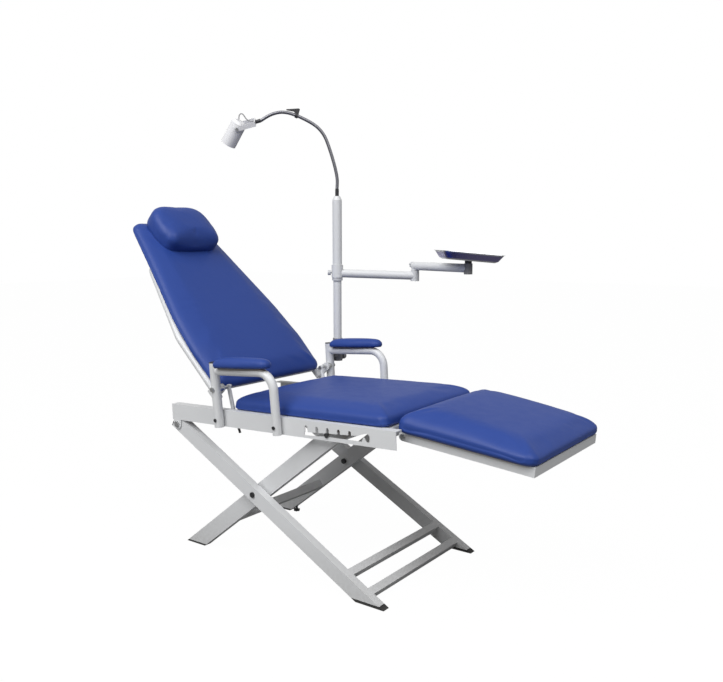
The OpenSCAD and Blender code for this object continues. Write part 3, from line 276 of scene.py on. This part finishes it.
# Instrument tray: deep-drawn stainless steel with fine scratches along it. Its wall carries a painted dark blue
# reflection, between a painted bright highlight along the rim and another on the sole.
steel = Finish("tray_steel", (0.46, 0.47, 0.53), 0.16, 1.0)
turned = steel.node("ShaderNodeMapping", {"vector_type": "POINT"}, {
    "Vector": steel.place, "Rotation": (0, 0, radians(-45)), "Scale": (4, 160, 40)})
scratch = steel.node("ShaderNodeTexNoise", {}, {"Vector": turned, "Scale": 12.0, "Detail": 4.0})
tray_up = (0.0616, 0.0616, 0.9962)
sole_level, rim_level, fade = 0.9155, 0.9325, 0.002
level = steel.node("ShaderNodeVectorMath", {"operation": "DOT_PRODUCT"}, {0: steel.place, 1: tray_up}, 1)
smooth_step = {"interpolation_type": "SMOOTHSTEP"}
# Painted highlight masks: the rim and the sole are painted bright, and the wall between them takes a painted dark
# blue reflection.
rim_highlight = steel.ramp(level, rim_level, rim_level + fade, smooth_step)
sole_highlight = steel.ramp(level, sole_level, sole_level + fade, smooth_step, start=1.0, end=0.0)
steel.give("Base Color", steel.blend(rim_highlight + sole_highlight, (0.24, 0.22, 0.40), (0.62, 0.63, 0.66)))
steel.give("Roughness", scratch * 0.22 + 0.08)
steel.bump(scratch, 0.08, 0.0002)
steel.coat("instrument_tray")

# Gooseneck: a steel hose of round wire with a triangular wire wound in between,
# dull chromed, so it is a stack of close rings that keeps the bend it is given.
chrome = Finish("chrome", (0.19, 0.19, 0.21), 0.38, 1.0)
chrome.give("Base Color", chrome.blend(chrome.noise(200.0, 2.0), (0.16, 0.16, 0.18), (0.22, 0.22, 0.24)))
chrome.give("Roughness", chrome.noise(420.0) * 0.08 + 0.38)
middle_x, middle_y = 0.438459, 0.096502        # the frame's origin, in the chair's own measures
pole_top = (Matrix.Translation((0.216 - middle_x, 0.306 - middle_y, 1.120))
            @ Matrix.Rotation(radians(36.2), 4, "Z"))
neck_route = [
    (0, 0), (0, 0.003), (0.001, 0.017), (0.001, 0.033), (-0.002, 0.052), (-0.007, 0.074), (-0.013, 0.096),
    (-0.020, 0.119), (-0.028, 0.143), (-0.035, 0.162), (-0.043, 0.178), (-0.053, 0.192), (-0.066, 0.205),
    (-0.080, 0.215), (-0.094, 0.223), (-0.110, 0.231), (-0.126, 0.2385), (-0.142, 0.2445), (-0.158, 0.2495),
    (-0.171, 0.252), (-0.184, 0.253), (-0.197, 0.2515), (-0.210, 0.2485), (-0.222, 0.244), (-0.233, 0.2385),
    (-0.243, 0.2325), (-0.251, 0.2272), (-0.25268, 0.22622), (-0.25461, 0.2257)]


def route_curve(name, points):
    """Open curve through points given in the gooseneck's upright plane."""
    bpy.ops.object.select_all(action="DESELECT")
    bpy.ops.curve.primitive_nurbs_path_add(location=(0, 0, 0))
    line = bpy.context.object
    line.name = name
    spline = line.data.splines[0]
    spline.points.add(len(points) - len(spline.points))
    for point, (across, up) in zip(spline.points, points):
        point.co = (*(pole_top @ Vector((across, 0, up))), 1)
    spline.order_u = 3
    spline.use_endpoint_u = True
    spline.resolution_u = 6
    return line


neck_line = route_curve("neck_line", neck_route)
bpy.ops.object.select_all(action="DESELECT")
bpy.ops.mesh.primitive_circle_add(vertices=20, radius=0.00535, rotation=(0, radians(90), 0))
neck = bpy.context.object
neck.name = "gooseneck_winding"
bpy.ops.object.transform_apply(rotation=True)
bpy.ops.object.mode_set(mode="EDIT")
for step, radius in ((0.0003, 0.0054), (0.0005, 0.00545), (0.0005, 0.0054), (0.0003, 0.00535)):
    bpy.ops.mesh.select_all(action="DESELECT")
    body = bmesh.from_edit_mesh(neck.data)
    far = max(v.co.x for v in body.verts)
    for v in body.verts:
        v.select_set(abs(v.co.x - far) < 1e-6)
    body.select_flush(True)
    bmesh.update_edit_mesh(neck.data)
    bpy.ops.mesh.extrude_edges_move(TRANSFORM_OT_translate={"value": (step, 0, 0)})
    body = bmesh.from_edit_mesh(neck.data)
    for v in body.verts:
        if v.select:
            size = sqrt(v.co.y ** 2 + v.co.z ** 2)
            v.co.y *= radius / size
            v.co.z *= radius / size
    bmesh.update_edit_mesh(neck.data)
bpy.ops.object.mode_set(mode="OBJECT")
stack = neck.modifiers.new("turns", "ARRAY")
stack.fit_type = "FIT_CURVE"
stack.curve = neck_line
stack.use_merge_vertices = True
stack.merge_threshold = 0.0001
bend = neck.modifiers.new("bend", "CURVE")
bend.object = neck_line
bend.deform_axis = "POS_X"
bpy.ops.object.modifier_apply(modifier=stack.name)
bpy.ops.object.modifier_apply(modifier=bend.name)
bpy.ops.object.shade_smooth()
neck.data.materials.append(chrome.material)
bpy.data.objects.remove(neck_line)
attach(neck, "lamp_neck")
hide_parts("gooseneck")

# Lamp lead: a short grey two-core flex that comes out of the fork's bridge, stands
# up in a slack loop and goes down into the housing, so the lamp can tilt.
grey_flex = Finish("grey_flex", (0.30, 0.30, 0.31), 0.5)
grey_flex.give("Base Color", grey_flex.blend(grey_flex.noise(220.0, 3.0), (0.26, 0.26, 0.27), (0.34, 0.34, 0.35)))
grey_flex.bump(grey_flex.noise(900.0, 1.0), 0.2, 0.0003)
lead_route = [
    (-0.275803, 0.223605), (-0.281599, 0.222052), (-0.288, 0.222), (-0.294, 0.224), (-0.299, 0.2275),
    (-0.304, 0.2325), (-0.308, 0.238), (-0.3115, 0.2435), (-0.3155, 0.2475), (-0.320, 0.2485), (-0.324, 0.2465),
    (-0.3265, 0.242), (-0.3275, 0.236), (-0.3275, 0.2293)]
lead = route_curve("lamp_lead", lead_route)
lead.data.dimensions = "3D"
lead.data.bevel_depth = 0.002
lead.data.bevel_resolution = 4
lead.data.use_fill_caps = True
lead.data.materials.append(grey_flex.material)
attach(lead, "lamp_neck")
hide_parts("lamp_wire")

# Upholstery: blue vinyl drawn over foam and stapled under a plywood board, so each
# cushion has a flat underside, a rolled edge, a crown and no outer seam.
vinyl = Finish("blue_vinyl", (0.022, 0.056, 0.262), 0.36)
vinyl.give("Specular IOR Level", 0.28)
vinyl.give("Base Color", vinyl.blend(vinyl.noise(5.0, 3.0), (0.0200, 0.0530, 0.255), (0.0245, 0.0610, 0.275)))
grain = vinyl.node("ShaderNodeTexVoronoi", {"feature": "DISTANCE_TO_EDGE"}, {"Vector": vinyl.place, "Scale": 620.0})
vinyl.give("Roughness", vinyl.noise(35.0, 2.0) * 0.10 + 0.40)
vinyl.bump(grain + vinyl.noise(26.0, 2.0) * 3.0, 0.22, 0.0005)


def blank(name, corners, height):
    """Foam block on a flat outline whose corners [x, y, radius] are rounded, ready to be rolled."""
    bpy.ops.object.select_all(action="DESELECT")
    bpy.ops.mesh.primitive_circle_add(vertices=len(corners), radius=1, fill_type="NGON")
    piece = bpy.context.object
    piece.name = name
    for vertex, (x, y, radius) in zip(piece.data.vertices, corners):
        vertex.co = (x, y, 0)
    points = [Vector((x, y)) for x, y, radius in corners]
    bpy.ops.object.mode_set(mode="EDIT")
    bpy.ops.mesh.select_mode(type="VERT")
    for i, (x, y, radius) in enumerate(corners):
        before = points[i] - points[i - 1]
        after = points[(i + 1) % len(points)] - points[i]
        reach = radius * tan(abs(before.angle(after)) / 2)
        bpy.ops.mesh.select_all(action="DESELECT")
        body = bmesh.from_edit_mesh(piece.data)
        min(body.verts, key=lambda v: (v.co.xy - points[i]).length).select_set(True)
        body.select_flush_mode()
        bmesh.update_edit_mesh(piece.data)
        bpy.ops.mesh.bevel(offset=reach, segments=8 if radius < 0.06 else 5, affect="VERTICES")
    bpy.ops.mesh.select_all(action="SELECT")
    bpy.ops.mesh.extrude_region_move(TRANSFORM_OT_translate={"value": (0, 0, height)})
    bpy.ops.mesh.select_all(action="SELECT")
    bpy.ops.mesh.normals_make_consistent(inside=False)
    bpy.ops.object.mode_set(mode="OBJECT")
    return piece


def roll_edge(piece, level, width, segments):
    """Rounds the edge that runs all round the piece at one height."""
    bpy.ops.object.mode_set(mode="EDIT")
    bpy.ops.mesh.select_mode(type="EDGE")
    bpy.ops.mesh.select_all(action="DESELECT")
    body = bmesh.from_edit_mesh(piece.data)
    for edge in body.edges:
        edge.select_set(all(abs(v.co.z - level) < 1e-5 for v in edge.verts))
    bmesh.update_edit_mesh(piece.data)
    bpy.ops.mesh.bevel(offset=width, segments=segments, affect="EDGES", clamp_overlap=False)
    bpy.ops.object.mode_set(mode="OBJECT")


def upholster(name, corners, height, edge, roll, crown, voxel, give,
              fall=0.0, push=4.0, foot=0.010, board=0.0125):
    """Foam block that rises from a low edge in a wide roll to a crown, under a tight skin."""
    piece = blank(name, corners, height)
    sides = [tuple(face.vertices) for face in piece.data.polygons if abs(face.normal.z) < 0.1]
    wall = BVHTree.FromPolygons([v.co.copy() for v in piece.data.vertices], sides)
    roll_edge(piece, 0, foot, 4)
    remesh = piece.modifiers.new("even_skin", "REMESH")
    remesh.mode = "VOXEL"
    remesh.voxel_size = voxel
    bpy.ops.object.modifier_apply(modifier=remesh.name)
    xs = [x for x, y, radius in corners]
    half_wide = max(y for x, y, radius in corners)
    for vertex in piece.data.vertices:
        x, y, z = vertex.co
        inward = wall.find_nearest((x, y, height / 2))[3]
        curve = sqrt(1 - (1 - min(1.0, inward / roll)) ** 2)
        share = max(0.0, min(1.0, (z - foot) / (height - foot)))
        u = 2 * (x - min(xs)) / (max(xs) - min(xs)) - 1
        v = y / half_wide
        rise = (height - edge) * (curve - 1) + crown * (1 - u ** 4) * (1 - min(1.0, v * v) ** 2)
        vertex.co.z += rise * share
        vertex.co.z -= max(0.0, vertex.co.z - 0.012) * fall * ((x - min(xs)) / (max(xs) - min(xs))) ** 2
    rest = [vertex.co.copy() for vertex in piece.data.vertices]
    hold = piece.vertex_groups.new(name="stapled")
    hold.add([v.index for v in piece.data.vertices if v.co.z < 0.006], 1.0, "REPLACE")
    cloth = piece.modifiers.new("skin", "CLOTH")
    cloth.settings.quality = 4
    cloth.settings.use_pressure = True
    cloth.settings.uniform_pressure_force = push
    cloth.settings.vertex_group_mass = "stapled"
    cloth.settings.effector_weights.gravity = 0
    cloth.settings.tension_stiffness = 25
    cloth.settings.compression_stiffness = 25
    cloth.collision_settings.use_collision = False
    bpy.context.scene.frame_end = 20
    for step in range(1, 21):
        bpy.context.scene.frame_set(step)
    bpy.ops.object.modifier_apply(modifier=cloth.name)
    for vertex, start in zip(piece.data.vertices, rest):
        moved = vertex.co - start
        if moved.length > give:
            vertex.co = start + moved.normalized() * give
        vertex.co.z = max(vertex.co.z, 0.0)
    bpy.context.scene.frame_set(1)
    smooth = piece.modifiers.new("even_out", "SMOOTH")
    smooth.factor = 0.5
    smooth.iterations = 5
    bpy.ops.object.modifier_apply(modifier=smooth.name)
    finer = piece.modifiers.new("finer", "SUBSURF")
    finer.levels = 1
    finer.render_levels = 1
    bpy.ops.object.modifier_apply(modifier=finer.name)
    for vertex in piece.data.vertices:
        if vertex.co.z < 0.0015:
            x, y, z = vertex.co
            vertex.co.z = 0.001 if wall.find_nearest((x, y, height / 2))[3] > board else 0.0
    bpy.ops.object.shade_smooth()
    piece.data.materials.clear()
    piece.data.materials.append(vinyl.material)
    return piece


def mirrored(corners):
    """Corner list of one side completed by its mirror image."""
    return corners + [(x, -y, radius) for x, y, radius in reversed(corners)]


def settle(piece, place, node, body):
    """Sets a finished piece in its place on the chair and hands it to its body."""
    piece.data.transform(place)
    piece.data.update()
    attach(piece, body)
    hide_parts(node)


# Seat cushion: it lies between the armrests from the backrest to the leg rest.
rear_end = Matrix.Translation((-middle_x, -middle_y, 0.448)) @ Matrix.Rotation(radians(-2.2), 4, "Y")
seat = upholster(
    "seat_upholstery", mirrored([(0.242, -0.236, 0.026), (0.790, -0.236, 0.026)]),
    0.042, 0.020, 0.058, 0.007, 0.006, 0.004, foot=0.009)
settle(seat, rear_end, "seat_cushion", "seat_frame")

# Backrest: long tapered cushion on the reclining frame.
back_pivot = (Matrix.Translation((0.21444 - middle_x, -middle_y, 0.520717))
              @ Matrix.Rotation(radians(44.4), 4, "Y"))
back = upholster(
    "back_upholstery",
    mirrored([
        (-0.710, -0.147, 0.044), (-0.480, -0.191, 0.9), (-0.290, -0.231, 0.5), (-0.150, -0.245, 0.16),
        (-0.008, -0.238, 0.030)]),
    0.034, 0.015, 0.058, 0.007, 0.006, 0.004, foot=0.008)
back_drop = Vector((0, 0, 0.030))
under = BVHTree.FromPolygons(
    [v.co - back_drop for v in back.data.vertices], [tuple(f.vertices) for f in back.data.polygons])
settle(back, back_pivot @ Matrix.Translation(-back_drop), "back_cushion", "backrest")

# Head pillow: a thick boxed pad with a domed face, laid on the upper end of the
# backrest and held there by hook tape under it.
pillow = upholster(
    "pillow_upholstery", mirrored([(-0.719, -0.114, 0.070), (-0.604, -0.120, 0.1), (-0.545, -0.106, 0.032)]),
    0.066, 0.044, 0.034, 0.010, 0.005, 0.004)
for vertex in pillow.data.vertices:
    x, y, z = vertex.co
    hit = under.ray_cast(Vector((x, y, 0.2)), Vector((0, 0, -1)))[0]
    if hit is not None:
        vertex.co.z = max(z, hit.z + 0.0004)
settle(pillow, back_pivot, "head_pillow", "backrest")

# Leg rest: thick at the knees and thinner towards the feet.
rest_hinge = (Matrix.Translation((0.815321 - middle_x, -middle_y, 0.455304))
              @ Matrix.Rotation(radians(5.1), 4, "Y"))
leg_rest = upholster(
    "leg_rest_upholstery", mirrored([(-0.018, -0.217, 0.028), (0.368, -0.217, 0.034)]),
    0.060, 0.024, 0.078, 0.006, 0.006, 0.004, fall=0.45, foot=0.012)
settle(leg_rest, rest_hinge @ Matrix.Translation((0, 0, 0.0125)), "rest_cushion", "leg_rest")

# Armrest pads: short pads wrapped round their boards on top of the bent tubes.
for side, name in ((1, "left"), (-1, "right")):
    pad = upholster(
        name + "_pad_upholstery",
        mirrored([(0.0165, -0.029, 0.014), (0.1065, -0.029, 0.2), (0.2165, -0.019, 0.018)]),
        0.023, 0.011, 0.022, 0.0055, 0.0035, 0.002, foot=0.005, board=0.0055)
    stand = (Matrix.Translation((0.221, side * 0.2642, -0.048)) @ Matrix.Rotation(radians(-2), 4, "Y")
             @ Matrix.Rotation(radians(-1.1 * side), 4, "X"))
    settle(pad, rear_end @ stand @ Matrix.Translation((0, 0, 0.1776)), name + "_armrest_pad", "seat_frame")
